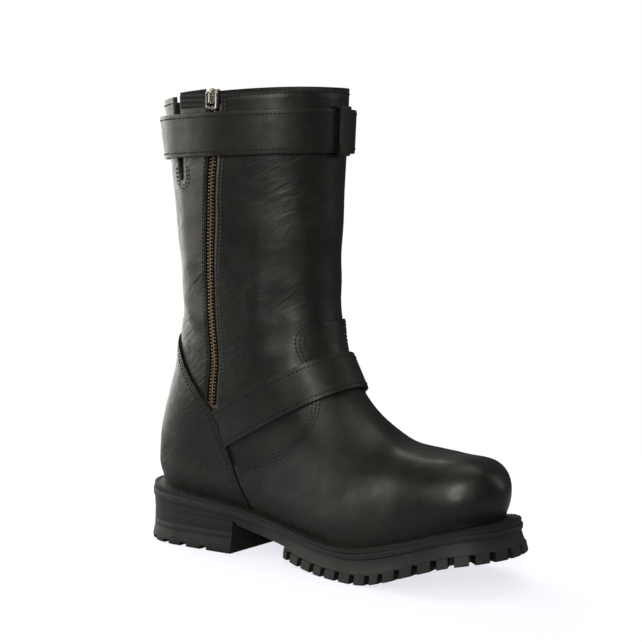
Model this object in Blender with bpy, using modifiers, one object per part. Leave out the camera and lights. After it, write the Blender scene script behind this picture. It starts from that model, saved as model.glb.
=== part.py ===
"""Engineer boot for the left foot, built as named sub-parts in metres.

Sizes below are in millimetres, in the last's own frame: x runs from the heel's back to the toe,
y from the inner (medial) side at minus to the outer side at plus, z up from the floor.
"""
import math

import bmesh
import bpy
import numpy as np
from mathutils import Vector
from mathutils.bvhtree import BVHTree

MM = 0.001
CENTRE_X = 157.5
CENTRE_Y = 5.0

WALL = 2.2
GAP = 0.3
OVERLAY = 1.5
OVERLAY_LIFT = 0.7

# Columns of the upper's grid, counted from the front line to the back line on each side.
SIDE_COLUMNS = 22
ZIP_COLUMNS = (14, 15)
NOTCH_COLUMNS = (17, 18)
FRONT_CROWDING = 1.12
ZIP_SLOT = 9.0
EXTRA_LEVELS = (0.5, 1.5, 2.5, 3.5, 10.5, 15.8)
NOTCH_FOOT = 15.8
ZIP_FOOT = 8
TOP_LEVEL = 18

TOE_X = 304.5
TOE_ROUND = 62.0
TUCK = 3.0
TUCK_HEIGHT = 16.0


def table(columns, rows):
    """A table with named columns, as arrays."""
    return {name: np.array([row[i] for row in rows], float) for i, name in enumerate(columns)}


# Each level is one ring around the upper, from the welt to the collar.
LEVELS = table(("level", "front_x", "front_z", "back_x", "back_z", "reach", "front_round", "back_round"), (
    (0, 304.5, 47.5, 6, 43, 90, 60, 36),
    (1, 306, 57.5, 4.5, 53, 80, 60, 38),
    (2, 304.5, 70, 4.5, 64, 70, 60, 40),
    (3, 297.5, 82, 5.5, 75, 60, 58, 42),
    (4, 282.5, 88.5, 7, 85, 60, 56, 44),
    (5, 262, 89, 9.5, 94, 60, 54, 46),
    (6, 240, 88, 12.5, 103, 60, 54, 48),
    (7, 217.5, 92, 15.5, 112, 60, 55, 50),
    (8, 196.5, 102, 18.5, 121, 60, 56, 53),
    (9, 179.5, 116.5, 21.5, 131, 60, 58, 56),
    (10, 166, 134, 24, 143, 60, 60, 59),
    (11, 158.5, 152.5, 26, 157, 60, 62, 62),
    (12, 155.5, 173, 27, 174, 60, 64, 64),
    (13, 154.5, 197, 26.5, 196, 60, 64, 64),
    (14, 155, 222, 25, 221, 60, 65, 65),
    (15, 155, 248, 22.5, 247, 60, 67, 67),
    (16, 156, 276, 19.5, 274, 60, 69, 69),
    (17, 157, 305, 16, 300, 60, 71, 71),
    (18, 158, 336, 12.5, 326, 60, 73, 73),
))

# The last's plan at its widest, and the height of the line where upper meets welt.
PLAN = table(("x", "inner", "outer", "middle", "feather_z"), (
    (0, 33, 33, 0, 43),
    (20, 33, 33, 0, 42),
    (50, 33, 33.5, 0, 40),
    (97, 32, 35, 0, 35.5),
    (127, 32, 40, 0, 30),
    (160, 38, 46, 0, 25),
    (190, 44, 50, 0, 22),
    (215, 47, 50, 0, 23),
    (240, 46, 47, -2, 29),
    (262, 45, 45, -3, 36),
    (285, 43, 42, -5, 43.5),
    (310, 42, 40, -6, 48),
))

# The shaft's half widths by height.
SHAFT = table(("z", "inner", "outer", "middle"), (
    (100, 39, 40, 0),
    (130, 42, 43, 1.5),
    (160, 45, 45.5, 2.5),
    (200, 48, 48, 3),
    (240, 51, 51, 3),
    (280, 54.5, 54.5, 3.5),
    (310, 57, 57, 4),
    (335, 58, 58, 4),
))
FOOT_BELOW = 55.0
SHAFT_ABOVE = 125.0
WIDEST_ABOVE_FEATHER = 16.0

# Where the zip and the collar's notch run down the inner side, by height.
SLOTS = table(("z", "zip_x", "notch_x", "notch_width"), (
    (20, 88, 44, 9),
    (60, 81, 42, 9),
    (106, 77, 44, 9),
    (120, 79.5, 46, 9),
    (140, 83, 49, 9),
    (155, 82.5, 51, 9),
    (180, 81.5, 52.5, 9),
    (205, 83, 53.5, 9),
    (230, 85.3, 54.5, 9),
    (258, 88, 56, 9),
    (269, 89.2, 57, 3),
    (276, 90.2, 57, 7.5),
    (290, 92.5, 57, 8),
    (320, 95, 57, 7.5),
    (340, 96, 57, 7),
))


def smooth(tab, key, column, at):
    """Cubic through one column of a table, with slopes from its neighbours."""
    k = tab[key]
    v = tab[column]
    slope = np.gradient(v, k)
    at = np.clip(np.asarray(at, float), k[0], k[-1])
    i = np.clip(np.searchsorted(k, at) - 1, 0, len(k) - 2)
    h = k[i + 1] - k[i]
    t = (at - k[i]) / h
    return ((1 + 2 * t) * (1 - t) ** 2 * v[i] + t * (1 - t) ** 2 * h * slope[i]
            + t * t * (3 - 2 * t) * v[i + 1] + t * t * (t - 1) * h * slope[i + 1])


def ramp(low, high, value):
    """Smooth step from 0 at low to 1 at high."""
    t = np.clip((np.asarray(value, float) - low) / (high - low), 0, 1)
    return t * t * (3 - 2 * t)


def rounding(distance, radius, power=2.2):
    """Superellipse: 0 on the outline, 1 at the radius and beyond."""
    t = np.clip(np.asarray(distance, float) / radius, 0, 1)
    return (1 - (1 - t) ** power) ** (1 / power)


FINE = np.linspace(0, 18, 361)
FRONT_LINE = np.stack([smooth(LEVELS, "level", "front_x", FINE), smooth(LEVELS, "level", "front_z", FINE)], 1)
BACK_LINE = np.stack([smooth(LEVELS, "level", "back_x", FINE), smooth(LEVELS, "level", "back_z", FINE)], 1)


def feather(x):
    return smooth(PLAN, "x", "feather_z", x)


def nearest(points, line):
    """Distance from each point to a line and the level of the nearest place on it."""
    gap = np.hypot(points[:, None, 0] - line[None, :, 0], points[:, None, 1] - line[None, :, 1])
    i = gap.argmin(1)
    return gap[np.arange(len(points)), i], FINE[i]


def half_width(x, z, side):
    """Distance from the last's middle line to its skin at a place of the side view."""
    name = "outer" if side > 0 else "inner"
    points = np.stack([x, z], 1)
    leg = ramp(FOOT_BELOW, SHAFT_ABOVE, z)
    full = smooth(PLAN, "x", name, x) * (1 - leg) + smooth(SHAFT, "z", name, z) * leg
    gap, level = nearest(points, FRONT_LINE)
    instep = rounding(gap, smooth(LEVELS, "level", "front_round", level), 2.1)
    nose = FINE >= 1
    top = np.interp(x, FRONT_LINE[nose][::-1, 0], FRONT_LINE[nose][::-1, 1])
    widest = feather(x) + WIDEST_ABOVE_FEATHER
    toe = rounding(top - z, np.maximum(top - widest, 1), 2.3) * rounding(TOE_X - x, TOE_ROUND, 2.2)
    ahead = ramp(200, 250, x)
    gap, level = nearest(points, BACK_LINE)
    back = rounding(gap, smooth(LEVELS, "level", "back_round", level), 2.1)
    return full * (toe * ahead + instep * (1 - ahead)) * back


def middle(x, z):
    leg = ramp(FOOT_BELOW, SHAFT_ABOVE, z)
    return smooth(PLAN, "x", "middle", x) * (1 - leg) + smooth(SHAFT, "z", "middle", z) * leg


def normal_in(column_x, column_z, level, turn):
    """Unit normal of a profile line in the side view, pointing into the boot."""
    a = np.array([smooth(LEVELS, "level", c, level - 0.05) for c in (column_x, column_z)])
    b = np.array([smooth(LEVELS, "level", c, level + 0.05) for c in (column_x, column_z)])
    d = (b - a) / np.linalg.norm(b - a)
    return np.array([-d[1], d[0]]) * turn


def side_path(level, u):
    """A ring in the side view, from the front line (u 0) to the back line (u 1)."""
    front = np.array([smooth(LEVELS, "level", c, level) for c in ("front_x", "front_z")])
    back = np.array([smooth(LEVELS, "level", c, level) for c in ("back_x", "back_z")])
    reach = smooth(LEVELS, "level", "reach", level)
    start = normal_in("front_x", "front_z", level, 1) * reach
    end = normal_in("back_x", "back_z", level, 1) * reach
    u = u[:, None]
    return ((1 + 2 * u) * (1 - u) ** 2 * front + u * (1 - u) ** 2 * start
            + u * u * (3 - 2 * u) * back + u * u * (u - 1) * end)


def half_ring(level, side, count=241):
    """Dense points of one side of a ring, from the front line to the back line."""
    u = (1 - np.cos(np.linspace(0, math.pi, count))) / 2
    base = side_path(0, u)
    order = np.argsort(base[:, 0])
    path = side_path(level, u)
    sag = feather(base[order, 0]) - base[order, 1]
    path[:, 1] += np.interp(path[:, 0], base[order, 0], sag) * max(0.0, 1 - level / 8) ** 1.5
    x, z = path[:, 0], path[:, 1]
    y = middle(x, z) + side * half_width(x, z, side)
    dx, dy = np.gradient(x), np.gradient(y)
    dx[[0, -1]] = 0
    dy[[0, -1]] = side, -side
    length = np.hypot(dx, dy) + 1e-9
    tuck = TUCK * (1 - ramp(0, TUCK_HEIGHT, z - feather(x)))
    return np.stack([x - side * dy / length * tuck, y + side * dx / length * tuck, z], 1)


def along(points):
    """Distance covered along a line of points."""
    return np.concatenate([[0], np.cumsum(np.linalg.norm(np.diff(points, axis=0), axis=1))])


def crossing(dense, run, column):
    """Distance along a half ring at which it passes one of the lines of the slots' table."""
    ahead = dense[:, 0] - smooth(SLOTS, "z", column, dense[:, 2])
    i = int(np.argmax(ahead < 0))
    part = ahead[i - 1] / (ahead[i - 1] - ahead[i])
    height = dense[i, 2]
    return run[i - 1] + part * (run[i] - run[i - 1]), height


def column_places(dense, run):
    """Distance from the front line to each column of the grid; columns follow both edges of the slots."""
    zip_at, _ = crossing(dense, run, "zip_x")
    notch_at, height = crossing(dense, run, "notch_x")
    half = float(np.interp(height, SLOTS["z"], SLOTS["notch_width"])) / 2
    keys = (0, *ZIP_COLUMNS, *NOTCH_COLUMNS, SIDE_COLUMNS)
    places = (0, zip_at - ZIP_SLOT / 2, zip_at + ZIP_SLOT / 2, notch_at - half, notch_at + half, run[-1])
    front = ZIP_COLUMNS[0]
    spread = np.interp(np.arange(SIDE_COLUMNS + 1), keys, places)
    spread[:front] = places[1] * (np.arange(front) / front) ** FRONT_CROWDING
    return spread


def ring(level):
    """The grid's points on one ring: front line, inner side, back line, outer side."""
    sides = []
    for side in (-1, 1):
        dense = half_ring(level, side)
        run = along(dense)
        places = column_places(dense, run)
        sides.append(np.stack([np.interp(places, run, dense[:, i]) for i in range(3)], 1))
    return np.concatenate([sides[0], sides[1][-2:0:-1]])


GRID_LEVELS = sorted(set(range(19)) | set(EXTRA_LEVELS))
GRID = np.array([ring(level) for level in GRID_LEVELS])
ROUND = GRID.shape[1]


def grid_normals(grid):
    """Unit normals of a grid that is closed along its rings, pointing out; level at the welt."""
    across = np.roll(grid, -1, 1) - np.roll(grid, 1, 1)
    up = np.gradient(grid, axis=0)
    n = np.cross(up, across)
    n[0, :, 2] = 0
    return n / np.linalg.norm(n, axis=2)[:, :, None]


NORMALS = grid_normals(GRID)


def skin(level, column, lift=0.0):
    """A place on the grid, counted round the inner side from the front line, lifted off the skin."""
    row = float(np.interp(level, GRID_LEVELS, range(len(GRID_LEVELS))))
    i = min(int(row), len(GRID_LEVELS) - 2)
    t = (level - GRID_LEVELS[i]) / (GRID_LEVELS[i + 1] - GRID_LEVELS[i])
    j = int(math.floor(column))
    f = column - j
    out = 0
    for r, w in ((i, 1 - t), (i + 1, t)):
        for c, v in ((j, 1 - f), (j + 1, f)):
            out = out + w * v * (GRID[r, c % ROUND] + NORMALS[r, c % ROUND] * lift)
    return out


for old in list(bpy.data.objects):
    bpy.data.objects.remove(old, do_unlink=True)
PARTS = bpy.data.collections.new("engineer_boot")
CUTTERS = bpy.data.collections.new("cutters")
bpy.context.scene.collection.children.link(PARTS)
bpy.context.scene.collection.children.link(CUTTERS)

FINISH = table(("red", "green", "blue", "roughness", "metallic"), (
    (0.020, 0.019, 0.018, 0.42, 0.0),
    (0.022, 0.022, 0.022, 0.70, 0.0),
    (0.030, 0.027, 0.024, 0.80, 0.0),
    (0.550, 0.540, 0.520, 0.28, 1.0),
    (0.330, 0.170, 0.085, 0.42, 1.0),
    (0.016, 0.016, 0.017, 0.88, 0.0),
    (0.110, 0.075, 0.045, 0.75, 0.0),
))
FINISH_NAMES = ("leather", "rubber", "welt", "nickel", "brass", "fabric", "board")


def finish(name):
    """The Principled material of one finish."""
    if name in bpy.data.materials:
        return bpy.data.materials[name]
    i = FINISH_NAMES.index(name)
    mat = bpy.data.materials.new(name)
    mat.use_nodes = True
    shader = mat.node_tree.nodes["Principled BSDF"]
    colour = tuple(float(FINISH[c][i]) for c in ("red", "green", "blue"))
    shader.inputs["Base Color"].default_value = (*colour, 1.0)
    shader.inputs["Roughness"].default_value = float(FINISH["roughness"][i])
    shader.inputs["Metallic"].default_value = float(FINISH["metallic"][i])
    mat.diffuse_color = (*colour, 1.0)
    return mat


def metres(points):
    """Places of the last's frame in the object's own frame, in metres."""
    return (np.asarray(points, float) - (CENTRE_X, CENTRE_Y, 0)) * MM


def solid(name, points, faces, look=None):
    """A mesh object with faces turned outward; a cutter where no finish is given."""
    mesh = bpy.data.meshes.new(name)
    mesh.from_pydata([tuple(p) for p in metres(points)], [], [tuple(f) for f in faces])
    work = bmesh.new()
    work.from_mesh(mesh)
    bmesh.ops.recalc_face_normals(work, faces=work.faces)
    work.to_mesh(mesh)
    work.free()
    obj = bpy.data.objects.new(name, mesh)
    if look:
        mesh.materials.append(finish(look))
        PARTS.objects.link(obj)
    else:
        CUTTERS.objects.link(obj)
        obj.hide_render = True
        obj.display_type = "WIRE"
    return obj


def boolean(obj, cutter, operation="DIFFERENCE"):
    mod = obj.modifiers.new(cutter.name, "BOOLEAN")
    mod.operation = operation
    mod.solver = "EXACT"
    mod.object = cutter
    return mod


def prism(name, outline, low=-90, high=90):
    """A cutter: a side-view outline (x, z) carried across the boot."""
    count = len(outline)
    points = [(x, y, z) for y in (low, high) for x, z in outline]
    sides = [(i, (i + 1) % count, count + (i + 1) % count, count + i) for i in range(count)]
    return solid(name, points, [tuple(range(count)), tuple(range(2 * count - 1, count - 1, -1)), *sides])


def layers(name, low, high, look=None, closed=False):
    """A solid between two grids of the same shape; closed grids run round the boot."""
    rows, columns = low.shape[:2]
    points = np.concatenate([low.reshape(-1, 3), high.reshape(-1, 3)])
    size = rows * columns
    span = columns if closed else columns - 1
    faces = []
    for r in range(rows - 1):
        for c in range(span):
            a, b = r * columns + c, r * columns + (c + 1) % columns
            faces.append((a, b, b + columns, a + columns))
            faces.append((size + a, size + a + columns, size + b + columns, size + b))
    rim = [(c, (c + 1) % columns) for c in range(span)]
    rim += [((rows - 1) * columns + (c + 1) % columns, (rows - 1) * columns + c) for c in range(span)]
    if not closed:
        rim += [((r + 1) * columns, r * columns) for r in range(rows - 1)]
        rim += [(r * columns + columns - 1, (r + 1) * columns + columns - 1) for r in range(rows - 1)]
    faces += [(b, a, size + a, size + b) for a, b in rim]
    return solid(name, points, faces, look)


def cell_open(level, column):
    """True for the grid's cells that are cut away as zip slot or notch."""
    if column == ZIP_COLUMNS[0]:
        return level >= ZIP_FOOT
    return column == NOTCH_COLUMNS[0] and level >= NOTCH_FOOT


def make_upper():
    faces = []
    for r, level in enumerate(GRID_LEVELS[:-1]):
        for c in range(ROUND):
            if not cell_open(level, c):
                a, b = r * ROUND + c, r * ROUND + (c + 1) % ROUND
                faces.append((a, a + ROUND, b + ROUND, b))
    mesh = bpy.data.meshes.new("upper")
    mesh.from_pydata([tuple(p) for p in metres(GRID.reshape(-1, 3))], [], faces)
    mesh.materials.append(finish("leather"))
    obj = bpy.data.objects.new("upper", mesh)
    PARTS.objects.link(obj)
    wall = obj.modifiers.new("wall", "SOLIDIFY")
    wall.thickness = WALL * MM
    wall.offset = -1
    wall.use_rim = True
    return obj


# Side-view outlines of the two overlays; the counter's front edge is shared, with a gap.
COUNTER_EDGE = (
    (28, 155), (39, 146), (56, 128), (71.6, 111), (80, 99), (87, 82), (94.5, 61), (101, 47), (109, 30),
)
VAMP_SEAM = (
    (97.5, 65.5), (108, 69), (120.4, 73.5), (132, 78.5), (144, 84), (152, 90.5), (157.5, 98),
    (161.5, 107.5), (160, 118), (155, 130), (149.5, 142), (145.5, 152), (144.6, 160), (146.5, 165.5),
    (151, 170), (158, 171.5),
)
COUNTER_TOP = 155.5
OVERLAY_TOP_LEVEL = 13


def overlay(name, thick, outline):
    """An overlay: the part of a larger shell round the upper that lies inside a side-view outline."""
    rows = [i for i, level in enumerate(GRID_LEVELS) if level <= OVERLAY_TOP_LEVEL]
    grid, out = GRID[rows], NORMALS[rows]
    obj = layers(name, grid + out * OVERLAY_LIFT, grid + out * (OVERLAY_LIFT + thick), "leather", closed=True)
    boolean(obj, prism(name + "_cut", outline), "INTERSECT")
    return obj


def make_overlays():
    edge = list(COUNTER_EDGE)
    back = [(-20, 20), (-20, COUNTER_TOP), (24, COUNTER_TOP)]
    counter = overlay("counter", OVERLAY + 0.2, edge[::-1] + back[::-1])
    rear = [(x + 2 * GAP, z) for x, z in edge if z < 66]
    front = [(330, 171.5), (330, 20), (109 + 2 * GAP, 20)]
    vamp = overlay("vamp", OVERLAY, list(VAMP_SEAM) + front + rear[::-1])
    return counter, vamp


SOLE = table(("x", "reach", "flare", "tread_z"), (
    (0, 10, 0, 6),
    (40, 9.5, 0, 6),
    (95, 8.5, 0, 6),
    (112, 7, 0, 6),
    (140, 6.5, 0.5, 5.5),
    (160, 7, 1, 2.8),
    (178, 7.5, 1, 0.6),
    (188, 8, 1, 0),
    (220, 8, 1, 0),
    (240, 8.2, 1, 4.2),
    (262, 8.9, 1, 12),
    (285, 10.4, 1, 19.5),
    (305, 11.8, 1, 23),
))
# The sole's side from bottom to top: how far each step stands out, at the heel and at the forefoot.
SIDE = table(("share", "heel_out", "fore_out"), (
    (0.0, -0.8, 4.2),
    (0.34, -0.9, 2.8),
    (0.36, -0.9, 2.1),
    (0.80, -0.4, -0.5),
    (0.84, 0.5, 0.5),
    (1.0, 0.5, 0.5),
))
WELT = 3.0
LUG_DEPTH = 6.5
HEEL_TOP = 24.5
BREAST_X = 95.0
ARCH = (
    (-30, -5), (-30, HEEL_TOP), (96.2, HEEL_TOP), (99.5, 21.5), (112, 18.3), (130, 15), (145.5, 13),
    (146.5, -5),
)
INSOLE_THICK = 4.2
WELT_INSET = WALL + 0.6
WELT_STANDS_OUT = 0.6
INSOLE_INSET = WALL + 1.2
EDGE_NOTCH = dict(pitch=13.0, wide=4.4, inward=15.0, last_gap=5.0)
# The heel block's side from the floor up: how far it stands out against the sole.
HEEL_SIDE = table(("z", "out"), (
    (0, 0.9),
    (2, 1.1),
    (11, -0.3),
    (HEEL_TOP - GAP, -0.9),
))
HEEL_NOTCH = dict(at=(16.5, 33, 51, 69), wide=6.0, inward=12.0, high=3.0)
CUT_BELOW = 4.0
NOTCHES_FROM = 146.0

# Swept-back grooves between the centre bars of the tread, and the two grooves along them.
GROOVES = table(("x", "half_length"), (
    (166, 19),
    (184, 23),
    (202, 26),
    (220, 27),
    (238, 26),
    (256, 23),
    (274, 18),
))
GROOVE_SWEEP = 7.0
GROOVE_WIDE = 4.8
GROOVE_MIDDLE = 0.5
GROOVE_DEPTH = LUG_DEPTH - 1.5


def plan_loop(out, z_of):
    """The upper's outline at the welt, moved out in plan, at heights given by a function of x."""
    base = GRID[0]
    n = NORMALS[0]
    moved = base[:, :2] + n[:, :2] * np.reshape(out, (-1, 1))
    return np.column_stack([moved, np.reshape(z_of, -1) * np.ones(len(base))])


def slab(name, loops, look):
    """A solid stacked from outline loops, bottom first, closed by rungs from side to side."""
    points = np.concatenate(loops)
    faces = []
    for k in range(len(loops) - 1):
        for c in range(ROUND):
            a, b = k * ROUND + c, k * ROUND + (c + 1) % ROUND
            faces.append((a, b, b + ROUND, a + ROUND))
    half = ROUND // 2
    for first in (0, (len(loops) - 1) * ROUND):
        faces += [(first, first + 1, first + ROUND - 1), (first + half - 1, first + half, first + half + 1)]
        for c in range(1, half - 1):
            faces.append((first + c, first + c + 1, first + ROUND - c - 1, first + ROUND - c))
    return solid(name, points, faces, look)


def tread(x):
    return np.maximum(0, smooth(SOLE, "x", "tread_z", x))


def ring_band(name, inner, outer, bottom, top, look):
    """A flat band round the boot between two loops."""
    z_low, z_high = np.reshape(bottom, -1), np.reshape(top, -1)
    low = np.stack([plan_loop(inner, z_low), plan_loop(outer, z_low)])
    high = np.stack([plan_loop(inner, z_high), plan_loop(outer, z_high)])
    return layers(name, low, high, look, closed=True)


def edge_blocks(name, loop, starts, notch, low_of, high_of):
    """A cutter of separate blocks set square to an outline, at distances along it."""
    width, inward = notch["wide"], notch["inward"]
    run = along(np.concatenate([loop, loop[:1]]))
    ring_x = np.append(loop[:, 0], loop[0, 0])
    ring_y = np.append(loop[:, 1], loop[0, 1])
    points, faces = [], []
    for start in starts:
        ends = np.array([start - width / 2, start + width / 2])
        px, py = np.interp(ends, run, ring_x), np.interp(ends, run, ring_y)
        way = np.array([px[1] - px[0], py[1] - py[0]])
        way /= np.linalg.norm(way)
        square = np.array([way[1], -way[0]])
        mid = np.array([px.mean(), py.mean()])
        if square @ (np.array([loop[:, 0].mean(), 0]) - mid) < 0:
            square = -square
        corners = [mid + way * s * width / 2 + square * q
                   for s, q in ((-1, -6), (1, -6), (1, inward), (-1, inward))]
        first = len(points)
        for pick in (low_of, high_of):
            points += [(c[0], c[1], pick(c[0])) for c in corners]
        faces += [tuple(first + i for i in f) for f in (
            (3, 2, 1, 0), (4, 5, 6, 7), (0, 1, 5, 4), (1, 2, 6, 5), (2, 3, 7, 6), (3, 0, 4, 7))]
    return solid(name, points, faces)


def centre_grooves():
    """A cutter of separate swept-back grooves across the middle of the tread."""
    points, faces = [], []
    for x, half in zip(GROOVES["x"], GROOVES["half_length"]):
        first = len(points)
        for lift in (-CUT_BELOW, GROOVE_DEPTH):
            for y, back in ((-half, GROOVE_SWEEP), (0, 0), (half, GROOVE_SWEEP)):
                for edge in (-GROOVE_WIDE / 2, GROOVE_WIDE / 2):
                    at = x - back + edge
                    points.append((at, y + GROOVE_MIDDLE, float(tread(at)) + lift))
        faces += [tuple(first + i for i in f) for f in (
            (0, 1, 3, 2), (2, 3, 5, 4), (6, 8, 9, 7), (8, 10, 11, 9), (0, 2, 8, 6),
            (2, 4, 10, 8), (1, 7, 9, 3), (3, 9, 11, 5), (0, 6, 7, 1), (4, 5, 11, 10))]
    return solid("centre_grooves", points, faces)


def make_sole():
    x = GRID[0][:, 0]
    reach = smooth(SOLE, "x", "reach", x)
    flare = smooth(SOLE, "x", "flare", x)
    top = feather(x)
    ring_band("welt", -WELT_INSET, reach + WELT_STANDS_OUT, top - GAP - WELT, top - GAP, "welt")
    board = [plan_loop(-INSOLE_INSET, z) for z in (top - GAP - WELT, top - WELT + INSOLE_THICK)]
    slab("insole", board, "board")
    high = top - 2 * GAP - WELT
    low = tread(x)
    loops = []
    for share, heel_out, fore_out in zip(SIDE["share"], SIDE["heel_out"], SIDE["fore_out"]):
        out = reach + heel_out * (1 - flare) + fore_out * flare
        loops.append(plan_loop(out, low + (high - low) * share))
    outsole = slab("outsole", loops, "rubber")
    boolean(outsole, prism("arch_cut", ARCH))
    outline = loops[0]
    run = along(outline)
    ahead = outline[:, 0] > NOTCHES_FROM
    first = run[ahead & (outline[:, 1] < 0)].max()
    last = run[ahead & (outline[:, 1] > 0)].min()
    total = along(np.concatenate([outline, outline[:1]]))[-1]
    pitch = EDGE_NOTCH["pitch"]
    starts = [*np.arange(pitch / 2, first, pitch)]
    starts += [*np.arange(last + 2, total - EDGE_NOTCH["last_gap"], pitch)]

    def notch_foot(at):
        return float(tread(at)) - CUT_BELOW

    def notch_roof(at):
        return float(tread(at)) + LUG_DEPTH

    boolean(outsole, edge_blocks("edge_notches", outline, starts, EDGE_NOTCH, notch_foot, notch_roof))
    boolean(outsole, centre_grooves())
    heel_loops = [plan_loop(reach + out, z) for z, out in zip(HEEL_SIDE["z"], HEEL_SIDE["out"])]
    heel = slab("heel", heel_loops, "rubber")
    breast = ((-30, -5), (BREAST_X - 1, -5), (BREAST_X + 0.5, HEEL_TOP + 5), (-30, HEEL_TOP + 5))
    boolean(heel, prism("heel_cut", breast), "INTERSECT")
    foot = heel_loops[0]
    side_run = along(foot)
    starts = []
    for side in (-1, 1):
        pick = foot[:, 1] * side > 0
        order = np.argsort(foot[pick][:, 0])
        for at in HEEL_NOTCH["at"]:
            starts.append(float(np.interp(at, foot[pick][order, 0], side_run[pick][order])))

    def below(at):
        return -HEEL_NOTCH["high"]

    def above(at):
        return HEEL_NOTCH["high"]

    boolean(heel, edge_blocks("heel_notches", foot, starts, HEEL_NOTCH, below, above))


STRAP_THICK = 2.8
TIP_THICK = 2.2
TOP_STRAP = dict(centre=(86, 3, 303), tilt=2.0, width=31.0, slack=0.6, slack_back=1.3)
ANKLE_STRAP = dict(centre=(112, 2, 105.5), tilt=27.5, width=27.5, slack=0.8, slack_back=0.6)
ANKLE_END_DEG = 138.0
STATIONS = 46
KEEPER_WIDE = 10.5
KEEPER_THICK = 1.6


def convex(angles, radii):
    """Radii of the convex outline round a polar curve."""
    x, y = radii * np.cos(angles), radii * np.sin(angles)
    points = sorted(zip(x, y))
    hull = []
    for way in (points, points[::-1]):
        part = []
        for q in way:
            while len(part) > 1:
                (ax, ay), (bx, by) = part[-2], part[-1]
                if (bx - ax) * (q[1] - ay) - (by - ay) * (q[0] - ax) > 0:
                    break
                part.pop()
            part.append(q)
        hull += part[:-1]
    hull = np.array(hull)
    following = np.roll(hull, -1, 0)
    out = []
    for angle in angles:
        ray = np.array([math.cos(angle), math.sin(angle)])
        edge = following - hull
        cross = ray[0] * edge[:, 1] - ray[1] * edge[:, 0]
        cross = np.where(np.abs(cross) < 1e-4, np.inf, cross)
        reach = (hull[:, 0] * edge[:, 1] - hull[:, 1] * edge[:, 0]) / cross
        share = (hull[:, 0] * ray[1] - hull[:, 1] * ray[0]) / cross
        fits = (share > -1e-6) & (share < 1 + 1e-6) & (reach > 1)
        out.append(reach[fits].max())
    return np.array(out)


class Strap:
    """A band: inner face close round the boot in a tilted plane; places by length, width and height."""

    def __init__(self, spec, shapes, first_deg, last_deg):
        tilt = math.radians(spec["tilt"])
        centre = np.array(spec["centre"], float)
        ahead = np.array([math.cos(tilt), 0, math.sin(tilt)])
        side = np.array([0.0, 1.0, 0.0])
        up = np.array([-math.sin(tilt), 0, math.cos(tilt)])
        angles = np.radians(np.arange(-180, 180, 2.0))
        across = np.linspace(-0.5, 0.5, 5) * spec["width"]
        radii = np.zeros((len(angles), len(across)))
        for i, angle in enumerate(angles):
            ray = ahead * math.cos(angle) + side * math.sin(angle)
            for j, v in enumerate(across):
                start = centre + up * v + ray * 160
                for shape in shapes:
                    hit = shape.ray_cast(Vector(metres(start)), Vector(-ray), 160 * MM)[0]
                    if hit:
                        place = np.array(hit) / MM + (CENTRE_X, CENTRE_Y, 0)
                        radii[i, j] = max(radii[i, j], (place - centre) @ ray)
        for j in range(len(across)):
            found = radii[:, j] > 5
            radii[:, j] = np.interp(angles, angles[found], radii[found, j], period=2 * math.pi)
        low, high = radii[:, 0], radii[:, -1]
        share = np.linspace(0, 1, len(across))
        lift = (radii - (low[:, None] * (1 - share) + high[:, None] * share)).max(1)
        slack = spec["slack"] + (spec["slack_back"] - spec["slack"]) * (1 - np.cos(angles)) / 2
        low = convex(angles, low + lift) + slack
        high = convex(angles, high + lift) + slack
        fine = np.radians(np.linspace(first_deg, last_deg, 401))
        low = np.interp(fine, angles, low, period=2 * math.pi)
        high = np.interp(fine, angles, high, period=2 * math.pi)
        rays = np.cos(fine)[:, None] * ahead + np.sin(fine)[:, None] * side
        self.low = centre - up * spec["width"] / 2 + rays * low[:, None]
        self.high = centre + up * spec["width"] / 2 + rays * high[:, None]
        self.run = along((self.low + self.high) / 2)
        self.angles = np.degrees(fine)
        way = np.gradient(self.low + self.high, axis=0)
        if abs(last_deg - first_deg) >= 360:
            way[0] = way[-1] = way[0] + way[-1]
        out = np.cross(way, self.high - self.low)
        self.out = out / np.linalg.norm(out, axis=1)[:, None]
        self.width = spec["width"]
        self.length = self.run[-1]

    def at(self, s, v, h):
        """Place at length s, v from -0.5 (bottom edge) to 0.5, and height h off the inner face."""
        low, high, out = (np.array([np.interp(s, self.run, part[:, k]) for k in range(3)])
                          for part in (self.low, self.high, self.out))
        return (low + high) / 2 + (high - low) * v + out * h

    def length_at(self, degrees):
        return float(np.interp(degrees, self.angles, self.run))

    def band(self, name, first, last, low, high, closed=False):
        """One layer of the strap between two lengths."""
        count = max(3, int(round((last - first) / self.length * STATIONS)) + 1)
        places = np.linspace(first, last, count)
        if closed:
            places = places[:-1]
        grids = [np.array([[self.at(s, v, h) for s in places] for v in (-0.5, 0.5)]) for h in (low, high)]
        return layers(name, grids[0], grids[1], "leather", closed=closed)

    def loft(self, name, section, places, look):
        """A solid with one (v in mm, h) section carried along the strap."""
        count = len(section)
        points = [self.at(s, v / self.width, h) for s in places for v, h in section]
        faces = [tuple(range(count)), tuple(range(len(points) - count, len(points)))[::-1]]
        for k in range(len(places) - 1):
            for i in range(count):
                a, b = k * count + i, k * count + (i + 1) % count
                faces.append((a, b, b + count, a + count))
        return solid(name, points, faces, look)


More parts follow.
